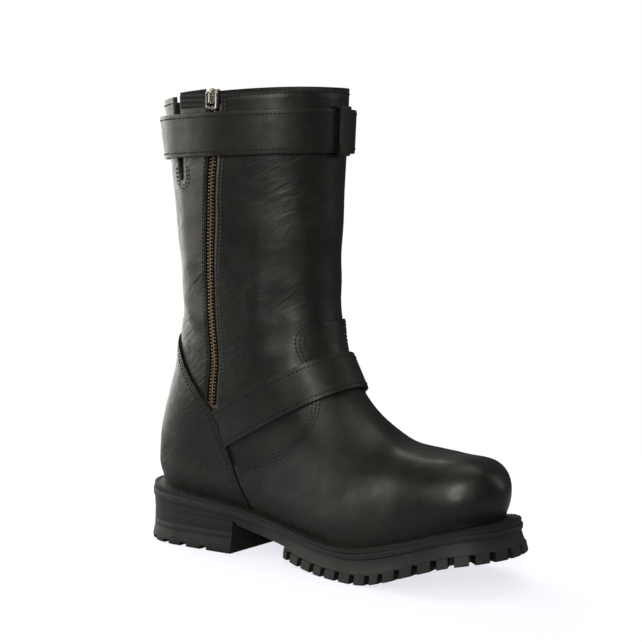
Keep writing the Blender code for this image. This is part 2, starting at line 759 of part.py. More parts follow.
def tube(name, path, radius, look, closed=False, sides=6):
    """A round bar along a path of places."""
    path = np.array(path, float)
    count = len(path)
    if closed:
        way = np.roll(path, -1, 0) - np.roll(path, 1, 0)
    else:
        way = np.gradient(path, axis=0)
    way /= np.linalg.norm(way, axis=1)[:, None]
    across = np.cross(way[0], (0.3, 0.5, 0.8))
    points = []
    for place, t in zip(path, way):
        across = across - t * (across @ t)
        across /= np.linalg.norm(across)
        other = np.cross(t, across)
        for k in range(sides):
            turn = 2 * math.pi * k / sides
            points.append(place + (across * math.cos(turn) + other * math.sin(turn)) * radius)
    faces = []
    for i in range(count if closed else count - 1):
        for k in range(sides):
            a, b = i * sides + k, i * sides + (k + 1) % sides
            c = (i + 1) % count * sides
            faces.append((a, b, c + (k + 1) % sides, c + k))
    if not closed:
        faces += [tuple(range(sides)), tuple(range((count - 1) * sides, count * sides))]
    return solid(name, points, faces, look)


def rounded_path(half_long, half_wide, corner, steps=3):
    """A rectangle with rounded corners, as (along, across) places."""
    out = []
    for k, (sx, sy) in enumerate(((1, 1), (-1, 1), (-1, -1), (1, -1))):
        for i in range(steps + 1):
            turn = math.pi / 2 * (k + i / steps)
            out.append((sx * (half_long - corner) + math.cos(turn) * corner,
                        sy * (half_wide - corner) + math.sin(turn) * corner))
    return out


def buckle(strap, name, at_deg, wire=1.7, half_long=10.0):
    """A plain frame lying on the strap and its prong, both of nickelled wire."""
    s = strap.length_at(at_deg)
    lie = STRAP_THICK + wire + 2 * GAP
    half_wide = strap.width / 2 + 0.6 + wire
    path = [strap.at(s + a, b / strap.width, lie) for a, b in rounded_path(half_long, half_wide, 4.5)]
    tube(name + "_frame", path, wire, "nickel", closed=True)
    over = lie + wire + 1.6
    prong = [(-half_long + wire + 1.6, STRAP_THICK + 1.7), (0, STRAP_THICK + 1.9),
             (half_long - 2.6 * wire, lie + 1.0), (half_long - wire, over), (half_long + 1.6, over)]
    tube(name + "_prong", [strap.at(s + a, 0, h) for a, h in prong], 1.2, "nickel")


def keeper(strap, name, at_deg, stack):
    """A leather loop over the strap and its free end; its legs reach down beside both edges."""
    s = strap.length_at(at_deg)
    inner, outer = strap.width / 2 + 0.5, strap.width / 2 + 0.5 + KEEPER_THICK
    top = stack + GAP + 0.1
    section = ((-outer, 0.0), (-outer, top + KEEPER_THICK), (outer, top + KEEPER_THICK), (outer, 0.0),
               (inner, 0.0), (inner, top), (-inner, top), (-inner, 0.0))
    strap.loft(name, section, np.linspace(s - KEEPER_WIDE / 2, s + KEEPER_WIDE / 2, 3), "leather")


def make_straps(upper, vamp):
    graph = bpy.context.evaluated_depsgraph_get()
    shapes = [BVHTree.FromObject(obj, graph) for obj in (upper, vamp)]
    top = Strap(TOP_STRAP, shapes, -180, 180)
    top.band("top_strap", 0, top.length, 0, STRAP_THICK, closed=True)
    stack = STRAP_THICK + GAP + TIP_THICK
    first, last = top.length_at(1.0), top.length_at(78.0)
    top.band("top_strap_end", first, last, STRAP_THICK + GAP, stack)
    keeper(top, "top_strap_keeper", 4.5, stack)
    buckle(top, "top_buckle", 92.0)
    ankle = Strap(ANKLE_STRAP, shapes, -ANKLE_END_DEG, ANKLE_END_DEG)
    band = ankle.band("ankle_strap", 0, ankle.length, 0, STRAP_THICK)
    behind = [(x + 2 * GAP, z) for x, z in COUNTER_EDGE]
    boolean(band, prism("strap_end_cut", behind + [(-20, 30), (-20, 155)]))
    ankle.band("ankle_strap_end", ankle.length_at(34.0), ankle.length_at(72.0), STRAP_THICK + GAP, stack)
    keeper(ankle, "ankle_strap_keeper", 44.0, stack)
    buckle(ankle, "ankle_buckle", 92.0)
    return top, ankle


def patch(name, levels, columns, low, high, look):
    """A solid laid along the skin between two offsets."""
    grids = []
    for lift in (low, high):
        grids.append(np.array([[skin(level, column, lift) for column in columns] for level in levels]))
    return layers(name, grids[0], grids[1], look)


SLIDER_Z = 329.5
SLIDER = (8.0, 10.5, 4.0)
PULL_DROP = 10.6
PULL_HALF_WIDE = 4.3
PULL_WIRE = 0.9
PULL_AXIS_UP = 2.7
PULL_AXIS_OUT = 3.8
ZIP_MIDDLE = ZIP_COLUMNS[0] + 0.5


def zip_frame(z):
    """Place on the zip's line at a height, with the directions across (to the toe), up and out."""
    level = float(np.interp(z, [skin(k, ZIP_MIDDLE)[2] for k in range(8, 20)], range(8, 20)))
    here, above, lifted = skin(level, ZIP_MIDDLE), skin(level + 0.1, ZIP_MIDDLE), skin(level, ZIP_MIDDLE, 1.0)
    up = (above - here) / np.linalg.norm(above - here)
    out = lifted - here
    out -= up * (out @ up)
    out /= np.linalg.norm(out)
    return here, np.cross(up, out), up, out


def make_zip():
    rows = [k for k in GRID_LEVELS if k >= ZIP_FOOT]
    inside = -(WALL + GAP)
    patch("zip_tape", rows[:-1] + [TOP_LEVEL - 0.05], (13.3, 14, 15, 15.9), inside - 1.0, inside, "fabric")
    patch("zip_teeth", [ZIP_FOOT + 0.15] + rows[1:-1] + [17.66], (14.2, 14.8), -1.7, 0.7, "brass")
    patch("zip_tab", (17.66, 17.84, TOP_LEVEL, 18.08), (15.15, 16, 16.85), GAP, GAP + 1.3, "fabric")
    notch = [k for k in GRID_LEVELS if k >= 15]
    gusset_levels = notch[:-1] + [TOP_LEVEL - 0.15]
    patch("gusset", gusset_levels, (16.3, 17, 18, 19, 19.3), inside - 1.2, inside, "leather")
    here, across, up, out = zip_frame(SLIDER_Z)
    if across[0] < 0:
        across = -across

    def local(a, u, o):
        return here + across * a + up * u + out * o

    wide, tall, thick = (k / 2 for k in SLIDER)
    corners = [(a, u, o) for o in (-thick, thick) for u in (-tall, tall) for a in (-wide, wide)]
    body = solid("zip_slider", [local(a, u, o + 0.4) for a, u, o in corners], (
        (0, 2, 3, 1), (4, 5, 7, 6), (0, 1, 5, 4), (2, 6, 7, 3), (0, 4, 6, 2), (1, 3, 7, 5)), "nickel")
    bevel = body.modifiers.new("edge", "BEVEL")
    bevel.width = 0.8 * MM
    bevel.segments = 2
    turns = np.linspace(0, math.pi, 9)
    arch = [(0, PULL_AXIS_UP + 2.5 * math.cos(t), 1.5 + 4.3 * math.sin(t)) for t in turns]
    bail = tube("bail_join", [local(*q) for q in arch], 0.7, None, sides=6)
    boolean(body, bail, "UNION")
    axis = local(0, PULL_AXIS_UP, PULL_AXIS_OUT)
    loop = [(a, u - PULL_DROP / 2) for u, a in rounded_path(PULL_DROP / 2, PULL_HALF_WIDE, 1.6)]
    pull = tube("zip_pull", [axis + across * a + up * u for a, u in loop], PULL_WIRE, "nickel", closed=True)
    place = metres(axis)
    for vertex in pull.data.vertices:
        vertex.co = vertex.co - Vector(place)
    pull.location = place
    return axis, across


UPPER = make_upper()
COUNTER, VAMP = make_overlays()
make_sole()
TOP, ANKLE = make_straps(UPPER, VAMP)
PULL_AXIS, PULL_WAY = make_zip()
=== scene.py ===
"""Looks of a left-foot engineer boot in waxed black leather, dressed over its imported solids.

Sizes are in millimetres in the last's own frame: x from the heel's back to the toe, y from the inner
side at minus to the outer side at plus, z up from the floor.
"""
import math

import bmesh
import bpy
import numpy as np
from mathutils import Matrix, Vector
from mathutils.bvhtree import BVHTree


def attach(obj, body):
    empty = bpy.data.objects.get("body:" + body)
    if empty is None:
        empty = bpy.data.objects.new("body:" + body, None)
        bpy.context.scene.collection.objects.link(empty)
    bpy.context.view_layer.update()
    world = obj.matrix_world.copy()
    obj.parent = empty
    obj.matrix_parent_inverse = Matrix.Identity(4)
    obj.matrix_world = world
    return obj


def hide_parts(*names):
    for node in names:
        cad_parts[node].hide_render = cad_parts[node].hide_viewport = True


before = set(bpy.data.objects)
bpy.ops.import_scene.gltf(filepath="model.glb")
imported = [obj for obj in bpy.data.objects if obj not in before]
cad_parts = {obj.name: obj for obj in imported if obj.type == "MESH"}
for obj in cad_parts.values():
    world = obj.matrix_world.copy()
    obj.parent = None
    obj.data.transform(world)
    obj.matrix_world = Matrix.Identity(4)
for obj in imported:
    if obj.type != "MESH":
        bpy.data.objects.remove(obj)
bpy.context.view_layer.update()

# Studio: white paper on the floor that fades into a white ground, lit by a tall soft light and a weak
# fill beside the camera, white panels at the left and behind, and a softbox overhead. The white ground
# and the paper's glow are seen by the camera only, so the room round the boot is dark.
MM = 0.001
LAST_AT = np.array((157.5, 5.0, 0.0))


def metres(points):
    """Places of the last's frame in the object's frame."""
    return (np.asarray(points, float) - LAST_AT) * MM


def last(points):
    """Places of the object's frame in the last's frame."""
    return np.asarray(points, float) / MM + LAST_AT


def linear(code):
    """An sRGB hex colour as linear RGBA."""
    parts = [int(code[i:i + 2], 16) / 255 for i in (1, 3, 5)]
    return (*[p / 12.92 if p <= 0.04045 else ((p + 0.055) / 1.055) ** 2.4 for p in parts], 1.0)


def add(tree, kind, inputs=None, **settings):
    """Adds a node with its settings; each input is a value or a socket to link from."""
    node = tree.nodes.new(kind)
    for key, value in settings.items():
        setattr(node, key, value)
    for key, value in (inputs or {}).items():
        if isinstance(value, bpy.types.NodeSocket):
            tree.links.new(value, node.inputs[key])
        else:
            node.inputs[key].default_value = value
    return node


def material(name, colour, roughness, metallic=0.0):
    """A Principled material to build on, with its node tree, shader and object coordinates."""
    mat = bpy.data.materials.new(name)
    mat.use_nodes = True
    tree = mat.node_tree
    shader = tree.nodes["Principled BSDF"]
    shader.inputs["Base Color"].default_value = linear(colour)
    shader.inputs["Roughness"].default_value = roughness
    shader.inputs["Metallic"].default_value = metallic
    mat.diffuse_color = linear(colour)
    place = add(tree, "ShaderNodeTexCoord").outputs["Object"]
    return mat, tree, shader, place


def noise(tree, place, scale, detail, roughness=0.5):
    """A cloud of noise over the object's own coordinates."""
    return add(tree, "ShaderNodeTexNoise", {"Vector": place, "Scale": scale, "Detail": detail,
                                            "Roughness": roughness}).outputs["Fac"]


def ranged(tree, value, start, end, low=0.0, high=1.0, kind="LINEAR"):
    """A value mapped from one range to another and held at its ends."""
    return add(tree, "ShaderNodeMapRange", {"Value": value, "From Min": start, "From Max": end,
                                            "To Min": low, "To Max": high},
               interpolation_type=kind).outputs["Result"]


def bumped(tree, shader, height, strength, distance, under=None):
    """Raises a material by a height, over another bump's normal if one is given."""
    inputs = {"Height": height, "Strength": strength, "Distance": distance}
    if under is not None:
        inputs["Normal"] = under
    bump = add(tree, "ShaderNodeBump", inputs)
    if shader:
        tree.links.new(bump.outputs["Normal"], shader.inputs["Normal"])
    return bump.outputs["Normal"]


PAPER = dict(radius=1.5, below=0.0004, solid_to=0.28, gone_at=0.6, glow=0.82)
bpy.ops.object.select_all(action="DESELECT")
bpy.ops.mesh.primitive_circle_add(vertices=96, radius=PAPER["radius"], fill_type="NGON",
                                  location=(0, 0, -PAPER["below"]))
floor = bpy.context.object
floor.name = "paper_floor"
paper, tree, shader, place = material("white_paper", "#a9a9ad", 0.9)
shader.inputs["Emission Color"].default_value = linear("#f4f3fb")
seen = add(tree, "ShaderNodeLightPath")
glow = add(tree, "ShaderNodeMath", {0: seen.outputs["Is Camera Ray"], 1: PAPER["glow"]},
           operation="MULTIPLY")
tree.links.new(glow.outputs["Value"], shader.inputs["Emission Strength"])
bumped(tree, shader, noise(tree, place, 900.0, 3.0), 0.1, 0.0002)
away = add(tree, "ShaderNodeVectorMath", {0: place}, operation="LENGTH").outputs["Value"]
fade = ranged(tree, away, PAPER["solid_to"], PAPER["gone_at"], kind="SMOOTHSTEP")
clear = add(tree, "ShaderNodeBsdfTransparent")
both = add(tree, "ShaderNodeMixShader", {0: fade, 1: shader.outputs["BSDF"],
                                         2: clear.outputs["BSDF"]})
tree.links.new(both.outputs["Shader"], tree.nodes["Material Output"].inputs["Surface"])
floor.data.materials.append(paper)

AREAS = (
    # name, place, aim, width, height, power
    ("tall_right_of_camera", (1.18, -1.70, 1.0), (0.0, 0.0, 0.24), 0.45, 1.2, 23),
    ("fill_left_of_camera", (0.0, -1.1, 0.78), (0.0, 0.0, 0.28), 0.6, 0.5, 1.6),
    ("low_front_left", (0.24, -1.42, 0.46), (0.12, 0.0, 0.06), 0.20, 0.20, 0.35),
    ("panel_left", (-1.5, -0.75, 0.55), (0.0, 0.0, 0.15), 1.0, 1.2, 11),
    ("panel_behind_left", (-1.75, 0.75, 0.75), (0.0, 0.0, 0.2), 1.7, 1.8, 34),
    ("overhead", (0.15, 0.25, 1.9), (0.0, 0.0, 0.0), 1.3, 1.3, 7),
    ("panel_behind_right", (1.5, 1.6, 0.9), (0.0, 0.0, 0.2), 0.8, 1.2, 4),
)
for name, at, aim, wide, high, power in AREAS:
    light = bpy.data.lights.new(name, "AREA")
    light.shape = "RECTANGLE"
    light.size, light.size_y, light.energy = wide, high, power
    light.color = (1.0, 0.99, 0.93)
    lamp = bpy.data.objects.new(name, light)
    bpy.context.scene.collection.objects.link(lamp)
    lamp.location = at
    lamp.rotation_euler = (Vector(aim) - Vector(at)).to_track_quat("-Z", "Y").to_euler()

world = bpy.data.worlds.new("white_ground")
bpy.context.scene.world = world
world.use_nodes = True
tree = world.node_tree
ground = tree.nodes["Background"]
ground.inputs["Color"].default_value = linear("#ffffff")
ground.inputs["Strength"].default_value = 1.0
room = add(tree, "ShaderNodeBackground", {"Color": linear("#fffdfa"), "Strength": 0.06})
seen = add(tree, "ShaderNodeLightPath")
both = add(tree, "ShaderNodeMixShader", {0: seen.outputs["Is Camera Ray"], 1: room.outputs["Background"],
                                         2: ground.outputs["Background"]})
tree.links.new(both.outputs["Shader"], tree.nodes["World Output"].inputs["Surface"])

scene = bpy.context.scene
scene.view_settings.view_transform = "Standard"
scene.view_settings.look = "None"
scene.view_settings.exposure = 0.0

IMAGE_WIDE = 642
lens = bpy.data.cameras.new("camera")
lens.lens, lens.sensor_width, lens.sensor_fit = 95.5, 36, "HORIZONTAL"
lens.shift_x = -8.5 / IMAGE_WIDE
camera = bpy.data.objects.new("camera", lens)
scene.collection.objects.link(camera)
camera.location = metres((883.0, -964.8, 292.0))
camera.rotation_euler = (math.radians(90 - 5.73), 0, math.radians(37))
scene.camera = camera

# Upper: the shaft and foot of full-grain cowhide about 2.2 mm thick, drum dyed black and waxed. The
# hide is lasted wet, so it is smooth over the toe and shows soft pulls at the ankle and the shaft.
ZIP_LINE = ((100, 76), (106, 77), (120, 79.5), (140, 83), (155, 82.5), (180, 81.5), (205, 83), (230, 85.3),
            (258, 88), (276, 90.2), (290, 92.5), (320, 95), (340, 96))
NOTCH_LINE = ((262, 56.3), (276, 57), (345, 57))


def deselect():
    """Clears the selection before an operator runs."""
    bpy.ops.object.select_all(action="DESELECT")


def copy_of(node, name):
    """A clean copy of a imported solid: doubles merged, triangles paired back to quads."""
    obj = bpy.data.objects.new(name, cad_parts[node].data.copy())
    scene.collection.objects.link(obj)
    work = bmesh.new()
    work.from_mesh(obj.data)
    bmesh.ops.remove_doubles(work, verts=work.verts, dist=1e-5)
    bmesh.ops.join_triangles(work, faces=work.faces, angle_face_threshold=math.pi,
                             angle_shape_threshold=math.pi, topology_influence=2)
    bmesh.ops.recalc_face_normals(work, faces=work.faces)
    work.to_mesh(obj.data)
    work.free()
    obj.data.materials.clear()
    for layer in list(obj.data.uv_layers):
        obj.data.uv_layers.remove(layer)
    return obj


def keep_edges(obj, degrees):
    """Creases every edge sharper than an angle, so that subdivision leaves it where it is."""
    work = bmesh.new()
    work.from_mesh(obj.data)
    layer = work.edges.layers.float.get("crease_edge") or work.edges.layers.float.new("crease_edge")
    for edge in work.edges:
        if len(edge.link_faces) == 2 and edge.calc_face_angle(0) > math.radians(degrees):
            edge[layer] = 1.0
    work.to_mesh(obj.data)
    work.free()


def apply(obj, kind, **settings):
    """Adds a modifier with its settings and applies it."""
    mod = obj.modifiers.new(kind.lower(), kind)
    for key, value in settings.items():
        setattr(mod, key, value)
    deselect()
    obj.select_set(True)
    bpy.context.view_layer.objects.active = obj
    bpy.ops.object.modifier_apply(modifier=mod.name)
    return obj


def places(obj):
    """The vertices of a mesh, in the last's frame."""
    out = np.zeros(len(obj.data.vertices) * 3, np.float32)
    obj.data.vertices.foreach_get("co", out)
    return last(out.reshape(-1, 3))


def set_places(obj, points):
    """Moves a mesh's vertices to places of the last's frame."""
    obj.data.vertices.foreach_set("co", metres(points).astype(np.float32).ravel())
    obj.data.update()


def outward(obj):
    """The vertex normals of a mesh."""
    out = np.zeros(len(obj.data.vertices) * 3, np.float32)
    obj.data.vertices.foreach_get("normal", out)
    return out.reshape(-1, 3)


# Soft pulls in the leather, placed one by one: the middle of each in side view, its side (0 for both),
# the way it runs, its length, its half width and its depth.
PULLS = (
    # x, z, side, degrees, length, width, depth
    (48, 168, -1, -38, 46, 9, 1.5),
    (62, 190, -1, -30, 50, 12, 0.9),
    (132, 160, 0, 18, 44, 9, 1.1),
    (138, 182, 0, 10, 50, 11, 1.0),
    (140, 215, 0, -6, 60, 16, 0.9),
    (120, 246, -1, 62, 90, 20, 1.2),
    (36, 205, 0, 20, 46, 13, 0.8),
    (30, 180, 0, 8, 40, 10, 0.9),
    (128, 138, -1, 40, 36, 7, 0.8),
    (186, 112, 0, -52, 60, 14, 0.6),
    (216, 84, 0, -78, 60, 16, 0.9),
    (238, 78, 0, -84, 50, 13, -0.5),
    (107, 226, -1, -61, 70, 10, 1.4),
    (121, 190, -1, 88, 80, 10, -1.1),
    (134, 176, -1, 86, 60, 8, 1.2),
)


def tree_of(obj):
    """A search tree of a mesh, for rays and nearest places."""
    return BVHTree.FromPolygons([v.co for v in obj.data.vertices], [p.vertices for p in obj.data.polygons])


def pulled(points, normals):
    """Moves places of the leather in and out along its soft pulls."""
    x, y, z = points.T
    move = np.zeros(len(points))
    for at_x, at_z, side, degrees, length, width, depth in PULLS:
        c, s = math.cos(math.radians(degrees)), math.sin(math.radians(degrees))
        run = ((x - at_x) * c + (z - at_z) * s) / (length / 2)
        off = (-(x - at_x) * s + (z - at_z) * c) / width
        fade = np.clip(1 - run ** 2, 0, 1) ** 1.5
        trough = np.exp(-off ** 2) - 0.45 * (np.exp(-(off - 1.7) ** 2) + np.exp(-(off + 1.7) ** 2))
        on = 1.0 if side == 0 else np.clip(0.5 + side * y / 20, 0, 1)
        move -= depth * trough * fade * on
    return points + normals * move[:, None]


def line_x(line, z):
    """Where a line of (height, x) pairs stands at a height."""
    return np.interp(z, [p[0] for p in line], [p[1] for p in line])


SHIN_AXIS = ((84, 2, 340), (84, 0, 110))
FOOT_AXIS = ((35, 0, 72), (262, -3, 62))


def from_axis(point):
    """The way from the nearest place on the leg's or the foot's middle line to a point."""
    ways = []
    for a, b in (SHIN_AXIS, FOOT_AXIS):
        a, run = np.array(a, float), np.subtract(b, a).astype(float)
        share = np.clip((point - a) @ run / (run @ run), 0, 1)
        ways.append(point - a - run * share)
    return min(ways, key=np.linalg.norm)


def filled_skin(name):
    """The upper's outer face alone, with the zip's slot and the notch closed, as a fine sheet."""
    obj = copy_of("upper", name)
    work = bmesh.new()
    work.from_mesh(obj.data)
    gone = []
    for face in work.faces:
        rim = min(e.calc_length() for e in face.edges) < 3.0 * MM
        if rim or from_axis(last(face.calc_center_median())) @ np.array(face.normal) < 0:
            gone.append(face)
    bmesh.ops.delete(work, geom=gone, context="FACES")
    for line in (ZIP_LINE, NOTCH_LINE):
        sides = ([], [])
        for vert in work.verts:
            x, y, z = last(vert.co)
            away = x - line_x(line, z)
            if vert.is_boundary and y < -20 and z > line[0][0] and abs(away) < 7:
                sides[int(away > 0)].append(vert)
        left, right = (sorted(side, key=lambda v: v.co.z) for side in sides)
        for k in range(min(len(left), len(right)) - 1):
            work.faces.new((left[k], right[k], right[k + 1], left[k + 1]))
    bmesh.ops.recalc_face_normals(work, faces=work.faces)
    innermost = min(work.faces, key=lambda f: f.calc_center_median().y)
    if innermost.normal.y > 0:
        bmesh.ops.reverse_faces(work, faces=work.faces)
    work.to_mesh(obj.data)
    work.free()
    return apply(obj, "SUBSURF", levels=2, render_levels=2)


SKIN = filled_skin("skin")
STILL_TREE = tree_of(SKIN)
set_places(SKIN, pulled(places(SKIN), outward(SKIN)))
SKIN_TREE = tree_of(SKIN)


def tinted(tree, shader, factor, low, high):
    """Colours a material between two tones by a factor."""
    tone = add(tree, "ShaderNodeMix", {"Factor": factor, "A": linear(low), "B": linear(high)},
               data_type="RGBA").outputs["Result"]
    tree.links.new(tone, shader.inputs["Base Color"])
    return tone


def leather(name, colour, worn, roughness, creased=0.6):
    """Waxed full-grain cowhide: dull black with a low waxy sheen, warmer and paler where rubbed."""
    mat, tree, shader, place = material(name, colour, roughness)
    rub = ranged(tree, noise(tree, place, 22.0, 5.0, 0.62), 0.5, 0.8)
    tone = tinted(tree, shader, rub, colour, worn)
    # Scuffs: a few pale specks and short scratches of 1 to 2 mm, where the finish is broken.
    scuff = ranged(tree, noise(tree, place, 240.0, 2.0, 0.7), 0.74, 0.8, high=0.5)
    marked = add(tree, "ShaderNodeMix", {"Factor": scuff, "A": tone, "B": linear("#57504a")},
                 data_type="RGBA")
    tree.links.new(marked.outputs["Result"], shader.inputs["Base Color"])
    matt = ranged(tree, noise(tree, place, 95.0, 5.0, 0.6), 0.3, 0.7, roughness - 0.06, roughness + 0.08)
    # The toe is moulded over a stiff cap and takes the most polish, so it is smoother than the shaft.
    along = add(tree, "ShaderNodeSeparateXYZ", {"Vector": place}).outputs["X"]
    polish = ranged(tree, along, 0.03, 0.11, high=0.05, kind="SMOOTHSTEP")
    gloss = add(tree, "ShaderNodeMath", {0: matt, 1: polish}, operation="SUBTRACT")
    tree.links.new(gloss.outputs["Value"], shader.inputs["Roughness"])
    # Fine wrinkles run aslant down the hide, about 4 mm apart, in patches, and few reach the stiff toe.
    calm = ranged(tree, along, -0.03, 0.04, creased, 0.05, kind="SMOOTHSTEP")
    slant = add(tree, "ShaderNodeMapping", {"Vector": place, "Rotation": (0.0, math.radians(-32), 0.0),
                                            "Scale": (0.020, 0.020, 0.0052)}, vector_type="TEXTURE")
    lines = add(tree, "ShaderNodeTexNoise", {"Vector": slant.outputs["Vector"], "Scale": 1.0,
                                             "Detail": 3.0, "Roughness": 0.5, "Distortion": 0.7})
    where = ranged(tree, noise(tree, place, 19.0, 1.0), 0.46, 0.66, high=calm)
    low = bumped(tree, None, noise(tree, place, 30.0, 2.5, 0.45), 0.7, 0.0028)
    wrinkled = bumped(tree, None, lines.outputs["Fac"], where, 0.0012, low)
    # Real grain is near 0.5 mm; it is drawn at 1.3 mm so that it shows from a step away.
    grain = add(tree, "ShaderNodeTexVoronoi", {"Vector": place, "Scale": 760.0}, feature="SMOOTH_F1")
    bumped(tree, shader, grain.outputs["Distance"], 0.13, 0.0004, wrinkled)
    shader.inputs["Coat Weight"].default_value = 0.1
    shader.inputs["Coat Roughness"].default_value = 0.3
    return mat


def lined(name, colour, pale, roughness):
    """Uncoated leather or board fibre: matt, with a fine nap of about 1 mm."""
    mat, tree, shader, place = material(name, colour, roughness)
    nap = noise(tree, place, 420.0, 4.0, 0.7)
    tinted(tree, shader, nap, colour, pale)
    bumped(tree, shader, nap, 0.4, 0.0004)
    return mat


def dressed(obj, body="boot", node=None):
    """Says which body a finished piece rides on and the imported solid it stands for."""
    if node:
        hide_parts(node)
    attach(obj, body)
    return obj


def rounded_off(obj, degrees=40):
    """Shades a piece smooth and leaves its sharper edges crisp."""
    deselect()
    obj.select_set(True)
    bpy.context.view_layer.objects.active = obj
    bpy.ops.object.shade_smooth_by_angle(angle=math.radians(degrees))


upper_leather = leather("waxed_black_cowhide", "#141310", "#26231d", 0.46)
raw_edge = lined("raw_brown_leather_edge", "#120d0a", "#2c1f17", 0.85)
lining = lined("black_pigskin_lining", "#1b1917", "#2b2825", 0.75)
COLLAR_LOW = 322.0
INNER_FROM = 1.2
upper = copy_of("upper", "upper_shell")
keep_edges(upper, 55)
apply(upper, "SUBSURF", levels=2, render_levels=2)
nearest = [STILL_TREE.find_nearest(v.co) for v in upper.data.vertices]
set_places(upper, pulled(places(upper), np.array([hit[1] for hit in nearest])))
for look in (upper_leather, raw_edge, lining):
    upper.data.materials.append(look)
for face in upper.data.polygons:
    if face.normal.z > 0.8 and last(face.center)[2] > COLLAR_LOW:
        face.material_index = 1
    elif min(nearest[i][3] for i in face.vertices) > INNER_FROM * MM:
        face.material_index = 2
upper.data.shade_smooth()
rounded_off(upper, 50)
dressed(upper, node="upper")

# Counter and vamp: second layers of the same hide, sewn flat over the upper along their cut edges. The
# counter wraps the heel; the vamp covers the foot and runs up to a tab at the throat.
COUNTER_EDGE = ((28, 155), (39, 146), (56, 128), (71.6, 111), (80, 99), (87, 82), (94.5, 61), (101, 47),
                (109, 30), (116, 12))
VAMP_SEAM = ((97.5, 65.5), (108, 69), (120.4, 73.5), (132, 78.5), (144, 84), (152, 90.5), (157.5, 98),
             (161.5, 107.5), (160, 118), (155, 130), (149.5, 142), (145.5, 152), (144.6, 160),
             (146.5, 165.5), (151, 170), (158, 171.5))
TAB_TOP, OVERLAY_FOOT = 171.5, 12
OVERLAY_IN = -0.4
OVERLAY_OUT = 1.9
COUNTER_RISE = 0.3
SHADOW_GAP = 1.5
HALF_ACROSS = 90


def spline(a, b, c, d, f):
    """A Catmull-Rom place between b and c."""
    return 0.5 * (2 * b + (c - a) * f + (2 * a - 5 * b + 4 * c - d) * f * f
                  + (3 * b - a - 3 * c + d) * f ** 3)


def smooth_line(points, count=80):
    """A Catmull-Rom curve through the points of a side-view line."""
    p = np.array(points, float)
    p = np.concatenate([[2 * p[0] - p[1]], p, [2 * p[-1] - p[-2]]])
    out = []
    for t in np.linspace(0, len(points) - 1 - 1e-9, count):
        i, f = int(t), t - int(t)
        out.append(spline(*p[i:i + 4], f))
    return np.array(out)


def prism(outline):
    """A cutter: a side-view outline carried right across the boot."""
    mesh = bpy.data.meshes.new("cutter")
    count = len(outline)
    points = [(x, y, z) for y in (-HALF_ACROSS, HALF_ACROSS) for x, z in outline]
    sides = [(i, (i + 1) % count, count + (i + 1) % count, count + i) for i in range(count)]
    ends = [tuple(range(count)), tuple(range(2 * count - 1, count - 1, -1))]
    mesh.from_pydata(metres(points).tolist(), [], ends + sides)
    obj = bpy.data.objects.new("cutter", mesh)
    scene.collection.objects.link(obj)
    work = bmesh.new()
    work.from_mesh(mesh)
    bmesh.ops.recalc_face_normals(work, faces=work.faces)
    work.to_mesh(mesh)
    work.free()
    return obj


def overlay(name, outline, keep, low, high):
    """A second layer of hide: a slab of the skin between two heights, cut to a side-view outline."""
    obj = bpy.data.objects.new(name, SKIN.data.copy())
    scene.collection.objects.link(obj)
    work = bmesh.new()
    work.from_mesh(obj.data)
    gone = [f for f in work.faces if not keep(*last(f.calc_center_median()))]
    bmesh.ops.delete(work, geom=gone, context="FACES")
    work.to_mesh(obj.data)
    work.free()
    set_places(obj, places(obj) + outward(obj) * low)
    apply(obj, "SOLIDIFY", thickness=(high - low) * MM, offset=1, use_rim=True)
    cutter = prism(outline)
    bpy.context.view_layer.update()
    apply(obj, "BOOLEAN", object=cutter, operation="INTERSECT", solver="EXACT")
    bpy.data.objects.remove(cutter)
    obj.data.materials.clear()
    obj.data.materials.append(upper_leather)
    rounded_off(obj)
    return dressed(obj, node=name.split("_")[0])


edge = smooth_line(COUNTER_EDGE)
counter = overlay("counter_cover", [*edge[::-1], (24, 155.5), (-20, 155.5), (-20, 12)],
                  lambda x, y, z: x < 125 and z < 175, OVERLAY_IN, OVERLAY_OUT + COUNTER_RISE)
seam = smooth_line(VAMP_SEAM)
behind = [(x + SHADOW_GAP, z) for x, z in edge if z < 66]
vamp = overlay("vamp_cover", [*seam, (330, TAB_TOP), (330, OVERLAY_FOOT), *behind[::-1]],
               lambda x, y, z: x > 80 and z < 190, OVERLAY_IN, OVERLAY_OUT)

# Stitching: bonded black thread of about 0.8 mm, sewn by machine at some 3 mm a stitch. The counter and
# the notch have double rows and the vamp three; each stitch is a small plump bar lying in the leather.
STITCH_PITCH = 3.0
RAY_FROM = 150
LINE_BREAK = 9
deselect()
bpy.ops.mesh.primitive_uv_sphere_add(segments=6, ring_count=4, radius=1.0)
STITCH = bpy.context.object
STITCH.name = "one_stitch"


def pattern(obj, size):
    """A small piece's corners, scaled to its size in mm, and its faces; the piece itself goes away."""
    corners = np.array([v.co[:] for v in obj.data.vertices]) * size
    faces = [tuple(p.vertices) for p in obj.data.polygons]
    bpy.data.objects.remove(obj)
    return corners, faces


def copies(name, what, frames, looks):
    """One mesh of a pattern's copies; a frame is a place and three directions in the last's frame."""
    corners, faces = what
    points, out = [], []
    for at, along, across, up in frames:
        out += [tuple(len(points) * len(corners) + i for i in face) for face in faces]
        points.append(at + corners @ np.array([along, across, up]))
    mesh = bpy.data.meshes.new(name)
    mesh.from_pydata(metres(np.concatenate(points)).tolist(), [], out)
    mesh.materials.append(looks)
    mesh.shade_smooth()
    obj = bpy.data.objects.new(name, mesh)
    scene.collection.objects.link(obj)
    return obj


BAR = pattern(STITCH, (1.15, 0.56, 0.36))


